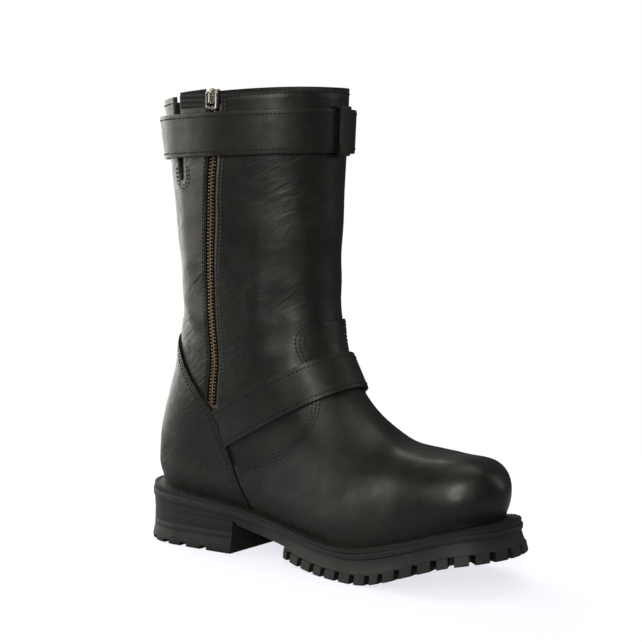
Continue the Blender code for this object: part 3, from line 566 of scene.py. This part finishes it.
def landed(tree, line, side):
    """Where a side-view line meets a surface, seen from one side (-1 inner, 1 outer), and its normals."""
    spots, ups = [], []
    for x, z in line:
        hit, normal, *_ = tree.ray_cast(Vector(metres((x, side * RAY_FROM, z))), Vector((0, -side, 0)))
        if hit:
            spots.append(last(hit))
            ups.append(np.array(normal) * (1 if normal.y * side > 0 else -1))
    return np.array(spots), np.array(ups)


def round_way(tree, centre, tilt, lift, first, end):
    """Where rays in a tilted plane meet a surface between two angles round the boot, and its normals."""
    t = math.radians(tilt)
    ahead, up = np.array((math.cos(t), 0, math.sin(t))), np.array((-math.sin(t), 0, math.cos(t)))
    spots, ups = [], []
    for turn in np.radians(np.arange(first, end + 0.1, 2.0)):
        ray = ahead * math.cos(turn) + np.array((0, 1.0, 0)) * math.sin(turn)
        start = np.array(centre, float) + up * lift + ray * RAY_FROM
        hit, normal, *_ = tree.ray_cast(Vector(metres(start)), Vector(-ray))
        if hit:
            spots.append(last(hit))
            ups.append(np.array(normal) * (1 if np.array(normal) @ ray > 0 else -1))
    return np.array(spots), np.array(ups)


def frames_along(spots, ups, pitch, height=0.12):
    """Evenly spaced frames along a line on a surface; none where the line jumps to another surface."""
    steps = np.linalg.norm(np.diff(spots, axis=0), axis=1)
    run = np.concatenate([[0], np.cumsum(steps)])
    out = []
    for at in np.arange(pitch / 2, run[-1], pitch):
        k = int(np.searchsorted(run, at)) - 1
        if steps[k] > LINE_BREAK:
            continue
        f = (at - run[k]) / steps[k]
        place = spots[k] * (1 - f) + spots[k + 1] * f
        up = ups[k] * (1 - f) + ups[k + 1] * f
        along = (spots[k + 1] - spots[k]) / steps[k]
        across = np.cross(up, along)
        across /= np.linalg.norm(across)
        up = np.cross(along, across)
        out.append((place + up * height, along, across, up))
    return out


def beside(line, away):
    """A side-view line moved to its right by a distance."""
    line = np.array(line, float)
    way = np.gradient(line, axis=0)
    way /= np.linalg.norm(way, axis=1)[:, None]
    return line + np.stack([way[:, 1], -way[:, 0]], 1) * away


def thread(name, colour, sheen):
    """Bonded nylon thread: a dull twist with a faint shine on its strands."""
    mat, tree, shader, place = material(name, colour, 0.62)
    twist = noise(tree, place, 1400.0, 2.0)
    tinted(tree, shader, twist, colour, sheen)
    bumped(tree, shader, twist, 0.5, 0.0003)
    return mat


black_thread = thread("black_bonded_thread", "#040404", "#0e0d0d")
# The zip's front rows are the same black thread drawn grey: the grey is painted highlight, where those rows
# catch the light.
highlight_painted_thread = thread("thread_with_painted_highlight", "#2d3234", "#565c60")
counter_tree, vamp_tree = tree_of(counter), tree_of(vamp)
SEAM_ROWS = (
    # surface, line, distance of each row inside the edge
    (counter_tree, edge, (1.9, 5.0)),
    (vamp_tree, seam, (1.7, 4.0, 6.2)),
)
frames = []
for tree, line, rows in SEAM_ROWS:
    for away in rows:
        for side in (-1, 1):
            frames += frames_along(*landed(tree, beside(line, away), side), STITCH_PITCH)
U_TIP, U_WIDE, U_ROWS = (57.0, 268.5), 4.2, (2.4, 5.0)
for away in U_ROWS:
    x, z, wide = *U_TIP, U_WIDE + away
    arch = [(x - wide, 292), (x - wide, 280)]
    arch += [(x - wide * math.cos(t), z + 5 - wide * math.sin(t)) for t in np.linspace(0, math.pi, 13)]
    arch += [(x + wide, 280), (x + wide, 292)]
    frames += frames_along(*landed(SKIN_TREE, arch, -1), STITCH_PITCH)
COLLAR = dict(centre=(86, 3, 331.2), tilt=3.93, below=3.4)
spots, ups = round_way(SKIN_TREE, COLLAR["centre"], COLLAR["tilt"], -COLLAR["below"], -180, 180)
for at in frames_along(spots, ups, STITCH_PITCH):
    x, y, z = at[0]
    if y > 0 or (abs(x - line_x(ZIP_LINE, z)) > 6.5 and abs(x - line_x(NOTCH_LINE, z)) > 5.5):
        frames.append(at)
ZIP_REAR_ROW, ZIP_FRONT_ROWS = 8.0, (6.0, 8.6)
zip_rear = [(line_x(ZIP_LINE, z) - ZIP_REAR_ROW, z) for z in np.linspace(112, 330, 60)]
frames += frames_along(*landed(SKIN_TREE, zip_rear, -1), STITCH_PITCH)
dressed(copies("seam_stitches", BAR, frames, black_thread))
frames = []
# The front rows beside the zip take the grey thread, a painted highlight on black thread.
for away in ZIP_FRONT_ROWS:
    front = [(line_x(ZIP_LINE, z) + away, z) for z in np.linspace(114, 330, 60)]
    frames += frames_along(*landed(SKIN_TREE, front, -1), STITCH_PITCH)
dressed(copies("zip_stitches", BAR, frames, highlight_painted_thread))

# Sole, heel and welt: a black moulded rubber unit, matt with a faint grey bloom. The outsole is cut into
# lugs along its edge and bars across the middle, the heel block is cemented under it, and the leather
# welt between sole and upper is stitched through.
rubber, tree, shader, place = material("moulded_black_rubber", "#181817", 0.6)
bloom = ranged(tree, noise(tree, place, 40.0, 6.0, 0.65), 0.45, 0.8)
tinted(tree, shader, bloom, "#151514", "#272624")
bumped(tree, shader, noise(tree, place, 420.0, 3.0), 0.25, 0.0004)
rand = lined("black_welt_leather", "#0c0b0a", "#1a1816", 0.7)
welt = copy_of("welt", "welt_strip")
WELT_HIGH = 3.0


def outer_outline(obj):
    """The outer top corner of the welt, in order round the boot, starting behind the heel."""
    work = bmesh.new()
    work.from_mesh(obj.data)
    found = []
    for rung in work.edges:
        a, b = (last(v.co) for v in rung.verts)
        if np.hypot(*(a - b)[:2]) < 0.3 and abs(a[2] - b[2]) > 2:
            top = max(a, b, key=lambda p: p[2])
            out = np.sum([np.array(f.normal) for f in rung.link_faces], axis=0)
            if (top - (157, 0, top[2])) @ out > 0:
                found.append(top)
    work.free()
    return np.array(sorted(found, key=lambda p: math.atan2(p[1], p[0] - 157.0)))


def round_loop(points, half=190):
    """A smooth loop through the outline: toe to heel down the outer side, then back, in equal steps."""
    count = len(points)
    dense = []
    for k in range(count):
        a, b, c, d = (points[(k + i) % count] for i in (-1, 0, 1, 2))
        for f in np.linspace(0, 1, 24, endpoint=False):
            dense.append(spline(a, b, c, d, f))
    dense = np.array(dense)
    dense = np.roll(dense, -int(dense[:, 0].argmax()), 0)
    heel_at = int(dense[:, 0].argmin())
    sides = []
    for part in (dense[:heel_at + 1], np.concatenate([dense[heel_at:], dense[:1]])):
        run = np.concatenate([[0], np.cumsum(np.linalg.norm(np.diff(part, axis=0), axis=1))])
        at = np.linspace(0, run[-1], half + 1)
        sides.append(np.stack([np.interp(at, run, part[:, i]) for i in range(3)], 1)[:-1])
    return np.concatenate(sides)


OUTLINE = round_loop(outer_outline(welt))
WAY = np.roll(OUTLINE, -2, 0)[:, :2] - np.roll(OUTLINE, 2, 0)[:, :2]
WAY /= np.linalg.norm(WAY, axis=1)[:, None]
PLAN_OUT = np.stack([WAY[:, 1], -WAY[:, 0]], 1)
TREAD = smooth_line(((-10, 6), (40, 6), (112, 6), (140, 5.5), (160, 2.8), (178, 0.6), (188, 0), (220, 0),
                     (240, 4.2), (262, 12), (285, 19.5), (305, 23), (322, 25)), 240)
SOLE_SIDE = (
    # share of the height, how far out at the heel, how far out at the forefoot
    (0.0, -1.6, 2.9),
    (0.035, -1.4, 3.6),
    (0.34, -1.5, 2.2),
    (0.37, -1.5, 1.4),
    (0.55, -1.4, 0.0),
    (0.72, -1.2, -0.9),
    (0.80, -1.0, -1.1),
    (0.83, -0.2, -0.2),
    (0.97, -0.1, -0.1),
    (1.0, -0.5, -0.5),
)
HEEL_SIDE = ((0, 0.1), (0.7, 0.5), (2.4, 0.5), (9.4, -0.8), (10.2, -1.1), (11.0, -1.1), (11.8, -0.9),
             (14.2, -1.1), (15.0, -1.45), (15.8, -1.45), (16.6, -1.2), (24.2, -1.5))
ARCH = ((-30, -5), (-30, 24.5), (96.2, 24.5), (99.5, 21.5), (112, 18.3), (130, 15), (145.5, 13), (146.5, -5))
BREAST = ((-30, -5), (94, -5), (95.5, 29.5), (-30, 29.5))
SOLE_UNDER_WELT = 0.3
LUG = dict(pitch=13.0, wide=4.4, inward=15.0, deep=6.5)
HEEL_CUT = dict(at=(16.5, 33, 51, 69), wide=6.0, inward=12.0, deep=3.0)
BARS = ((166, 19), (184, 23), (202, 26), (220, 27), (238, 26), (256, 23), (274, 18))


def ground_at(x):
    """The height of the outsole's underside at a distance from the back."""
    return np.interp(x, TREAD[:, 0], TREAD[:, 1])


def stacked(name, loops):
    """A solid stacked from loops round the outline, bottom first, closed by rungs from side to side."""
    count = len(OUTLINE)
    points, faces = np.concatenate(loops), []
    for k in range(len(loops) - 1):
        for c in range(count):
            a, b = k * count + c, k * count + (c + 1) % count
            faces.append((a, b, b + count, a + count))
    for first in (0, (len(loops) - 1) * count):
        faces += [(first, first + 1, first + count - 1), (first + count // 2 - 1, first + count // 2,
                                                          first + count // 2 + 1)]
        faces += [(first + c, first + c + 1, first + count - c - 1, first + count - c)
                  for c in range(1, count // 2 - 1)]
    return shape(name, points, faces)


def shape(name, points, faces):
    """A mesh object of places in the last's frame, its faces turned outward."""
    mesh = bpy.data.meshes.new(name)
    mesh.from_pydata(metres(points).tolist(), [], faces)
    work = bmesh.new()
    work.from_mesh(mesh)
    bmesh.ops.recalc_face_normals(work, faces=work.faces)
    work.to_mesh(mesh)
    work.free()
    obj = bpy.data.objects.new(name, mesh)
    scene.collection.objects.link(obj)
    return obj


def cut(obj, cutter, operation="DIFFERENCE"):
    """Takes a cutter's solid out of a piece, or keeps only what lies in it."""
    bpy.context.view_layer.update()
    apply(obj, "BOOLEAN", object=cutter, operation=operation, solver="EXACT")
    bpy.data.objects.remove(cutter)


def box_faces(first):
    """The six faces of a block whose eight corners start at an index."""
    return [tuple(first + i for i in f) for f in (
        (3, 2, 1, 0), (4, 5, 6, 7), (0, 1, 5, 4), (1, 2, 6, 5), (2, 3, 7, 6), (3, 0, 4, 7))]


def notches(loop, picks, spec, follow):
    """A cutter of blocks set square to the outline at some of its points."""
    points, faces = [], []
    for k in picks:
        mid, way, out = loop[k, :2], WAY[k], PLAN_OUT[k]
        foot = ground_at(mid[0]) if follow else 0.0
        faces += box_faces(len(points))
        for z in (foot - 4, foot + spec["deep"]):
            points += [(*(mid + way * a * spec["wide"] / 2 + out * b), z)
                       for a, b in ((-1, 7), (1, 7), (1, -spec["inward"]), (-1, -spec["inward"]))]
    return shape("notch_cutter", points, faces)


def loop_at(out, z):
    """The outline moved outward, at one height or one height for each of its points."""
    plan = OUTLINE[:, :2] + PLAN_OUT * np.reshape(out, (-1, 1))
    return np.column_stack([plan, np.ones(len(OUTLINE)) * z])


roof = OUTLINE[:, 2] - WELT_HIGH - SOLE_UNDER_WELT
foot = ground_at(OUTLINE[:, 0])
fore = np.interp(OUTLINE[:, 0], (112, 160), (0, 1))
loops = [loop_at(heel_out * (1 - fore) + fore_out * fore, foot + (roof - foot) * share)
         for share, heel_out, fore_out in SOLE_SIDE]
outsole = stacked("lugged_outsole", loops)
cut(outsole, prism(ARCH))
length = np.linalg.norm(np.diff(OUTLINE, axis=0, append=OUTLINE[:1]), axis=1)
run = np.cumsum(length) - length[0]
half = len(OUTLINE) // 2
picks = []
for side_run, way in ((run, 1), (run[-1] - run, -1)):
    for at in np.arange(LUG["pitch"] / 2, 220, LUG["pitch"]):
        k = int(np.abs(side_run - at).argmin())
        if OUTLINE[k, 0] > 148:
            picks.append(k)
cut(outsole, notches(loops[0], picks, LUG, True))
points, faces = [], []
for x, reach in BARS:
    first = len(points)
    for lift in (-4, 5):
        for y, back in ((-reach, 7), (0, 0), (reach, 7)):
            points += [(x - back + e, y + 0.5, ground_at(x - back + e) + lift) for e in (-2.4, 2.4)]
    faces += [tuple(first + i for i in f) for f in (
        (0, 1, 3, 2), (2, 3, 5, 4), (6, 8, 9, 7), (8, 10, 11, 9), (0, 2, 8, 6),
        (2, 4, 10, 8), (1, 7, 9, 3), (3, 9, 11, 5), (0, 6, 7, 1), (4, 5, 11, 10))]
cut(outsole, shape("bar_cutter", points, faces))
heel = stacked("stacked_heel", [loop_at(out, z) for z, out in HEEL_SIDE])
cut(heel, prism(BREAST), "INTERSECT")
picks = [int(np.abs(OUTLINE[:half, 0] - x).argmin()) for x in HEEL_CUT["at"]]
picks += [half + int(np.abs(OUTLINE[half:, 0] - x).argmin()) for x in HEEL_CUT["at"]]
cut(heel, notches(loop_at(0, 0), picks, HEEL_CUT, False))
for obj, node in ((outsole, "outsole"), (heel, "heel")):
    obj.data.materials.append(rubber)
    rounded_off(obj, 32)
    dressed(obj, node=node)

keep_edges(welt, 50)
apply(welt, "SUBSURF", levels=2, render_levels=2)
welt.data.materials.append(rand)
rounded_off(welt, 35)
dressed(welt, node="welt")
WELT_ROW = dict(inset=3.0, sunk=0.05, pitch=4.6)
row = loop_at(-WELT_ROW["inset"], OUTLINE[:, 2] - WELT_ROW["sunk"])
row = np.concatenate([row, row[:1]])
frames = frames_along(row, np.tile((0, 0, 1.0), (len(row), 1)), WELT_ROW["pitch"])
WELT_BAR = (BAR[0] * (1.45, 1.3, 1.2), BAR[1])
dressed(copies("welt_stitches", WELT_BAR, frames, black_thread))

board = lined("leatherboard", "#33271c", "#4a3a2b", 0.8)
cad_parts["insole"].data.materials.clear()
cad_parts["insole"].data.materials.append(board)

# Straps: bands of 2.8 mm strap leather with brown raw edges, sewn near both edges. One goes round the
# collar, one over the instep down to the counter; each has a free end held by a keeper.
strap_leather = leather("waxed_strap_leather", "#151411", "#27231d", 0.48, creased=0.2)
STRAPS = (
    # name, middle, tilt, width, angles of the row's two ends
    ("top_strap", (86, 3, 303), 2.0, 31.0, (-180, 180)),
    ("ankle_strap", (112, 2, 105.5), 27.5, 27.5, (-137, 137)),
)
ROW_INSET = 3.2
END_SKIVED, END_DRAWN = 24.0, 0.42


def strap_cover(node, tilt, cuts=2):
    """A strap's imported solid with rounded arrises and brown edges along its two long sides."""
    obj = copy_of(node, node + "_band")
    apply(obj, "BEVEL", width=0.6 * MM, segments=2, limit_method="ANGLE", angle_limit=math.radians(50))
    apply(obj, "SUBSURF", levels=cuts, render_levels=cuts)
    if node == "ankle_strap":
        points = places(obj)
        for i, vert in enumerate(obj.data.vertices):
            x, y, z = points[i]
            ahead = x - np.interp(-z, [-p[1] for p in COUNTER_EDGE], [p[0] for p in COUNTER_EDGE])
            spot, normal, *_ = SKIN_TREE.find_nearest(vert.co)
            high = (vert.co - spot).dot(normal) / MM
            down = 1 - min(1, max(0, ahead / END_SKIVED)) ** 0.7
            points[i] -= np.array(normal) * high * down * END_DRAWN
        set_places(obj, points)
    obj.data.materials.append(strap_leather)
    obj.data.materials.append(raw_edge)
    t = math.radians(tilt)
    up = Vector((-math.sin(t), 0, math.cos(t)))
    for face in obj.data.polygons:
        face.material_index = int(abs(face.normal @ up) > 0.9)
    obj.data.shade_smooth()
    return dressed(obj, node=node)


frames = []
for strap, middle, tilt, wide, (start, stop) in STRAPS:
    for piece in ("", "_end", "_keeper"):
        band = strap_cover(strap + piece, tilt)
        if piece != "_keeper":
            for lift in (ROW_INSET - wide / 2, wide / 2 - ROW_INSET):
                ends = (start, stop) if not piece else (0, 84)
                spots, ups = round_way(tree_of(band), middle, tilt, lift, *ends)
                frames += frames_along(spots, ups, STITCH_PITCH)
dressed(copies("strap_stitches", BAR, frames, black_thread))

# Buckles, slider and pull: bent steel wire and die-cast zinc, bright nickel plated and rubbed duller in
# patches. The frames are held by the straps; the pull hangs on the slider's bail.
nickel, tree, shader, place = material("bright_nickel_plate", "#cfcbc3", 0.24, 1.0)
wear = noise(tree, place, 300.0, 4.0, 0.6)
tree.links.new(ranged(tree, wear, 0.0, 1.0, 0.14, 0.42), shader.inputs["Roughness"])
bumped(tree, shader, wear, 0.12, 0.0002)
for node in ("top_buckle_frame", "top_buckle_prong", "ankle_buckle_frame", "ankle_buckle_prong"):
    obj = copy_of(node, node + "_wire")
    keep_edges(obj, 75)
    apply(obj, "SUBSURF", levels=2, render_levels=2)
    obj.data.materials.append(nickel)
    obj.data.shade_smooth()
    dressed(obj, node=node)
for node in ("zip_slider", "zip_pull"):
    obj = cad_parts[node]
    obj.data.materials.clear()
    obj.data.materials.append(nickel)

# Zip: two rows of antique brass teeth clamped on black woven tape, which is sewn behind the leather's
# slot. It is shut from the slider down to its stop. A webbing patch and a gusset finish the collar.
brass, tree, shader, place = material("antique_brass", "#7d715c", 0.42, 1.0)
dull = noise(tree, place, 260.0, 3.0, 0.6)
tinted(tree, shader, dull, "#574938", "#97816a")
tree.links.new(ranged(tree, dull, 0.0, 1.0, 0.3, 0.5), shader.inputs["Roughness"])
TOOTH_PITCH = 2.5
TOOTH_SUNK, TOOTH_ASIDE, STOP_LONG = 0.55, 1.05, 2.2
deselect()
bpy.ops.mesh.primitive_cube_add(size=2.0)
tooth = bpy.context.object
apply(tooth, "BEVEL", width=0.34, segments=1, limit_method="NONE")
TOOTH = pattern(tooth, (0.66, 1.8, 0.8))
zip_line = [(line_x(ZIP_LINE, z), z) for z in np.linspace(107.5, 327, 90)]
spots, ups = landed(SKIN_TREE, zip_line, -1)
frames = []
for k, (at, along, across, up) in enumerate(frames_along(spots, ups, TOOTH_PITCH / 2, -TOOTH_SUNK)):
    frames.append((at + across * (TOOTH_ASIDE if k % 2 else -TOOTH_ASIDE), along, across, up))
at, along, across, up = frames[0]
frames.append((at - along * STOP_LONG, along * STOP_LONG, across * 1.2, up))
dressed(copies("brass_teeth", TOOTH, frames, brass), node="zip_teeth")

tape, tree, shader, place = material("black_woven_tape", "#0f0f11", 0.85)
# The real weave is near 0.4 mm; it is drawn at 0.9 mm so that it shows.
weave = add(tree, "ShaderNodeTexWave", {"Vector": place, "Scale": 170.0, "Distortion": 0.3},
            bands_direction="Z")
warp = add(tree, "ShaderNodeTexWave", {"Vector": place, "Scale": 210.0, "Distortion": 0.3},
           bands_direction="X")
cloth = add(tree, "ShaderNodeMath", {0: weave.outputs["Fac"], 1: warp.outputs["Fac"]},
            operation="MULTIPLY").outputs["Value"]
tinted(tree, shader, cloth, "#0b0b0c", "#26262a")
bumped(tree, shader, cloth, 0.6, 0.0004)
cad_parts["zip_tape"].data.materials.clear()
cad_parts["zip_tape"].data.materials.append(tape)

webbing, tree, shader, place = material("ribbed_black_webbing", "#121214", 0.8)
# Webbing ribs run across the tab at 1.8 mm.
ribs = add(tree, "ShaderNodeTexWave", {"Vector": place, "Scale": 88.0, "Distortion": 0.2},
           bands_direction="Z").outputs["Fac"]
tinted(tree, shader, ribs, "#0b0b0c", "#2e2e31")
bumped(tree, shader, ribs, 0.8, 0.0008)
tab = copy_of("zip_tab", "webbing_tab")
apply(tab, "BEVEL", width=0.4 * MM, segments=2, limit_method="ANGLE", angle_limit=math.radians(50))
apply(tab, "SUBSURF", levels=2, render_levels=2)
tab.data.materials.append(webbing)
tab.data.materials.append(raw_edge)
for face in tab.data.polygons:
    face.material_index = int(face.normal.z > 0.85)
tab.data.shade_smooth()
dressed(tab, node="zip_tab")
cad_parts["gusset"].data.materials.clear()
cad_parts["gusset"].data.materials.append(lining)

bpy.data.objects.remove(SKIN)
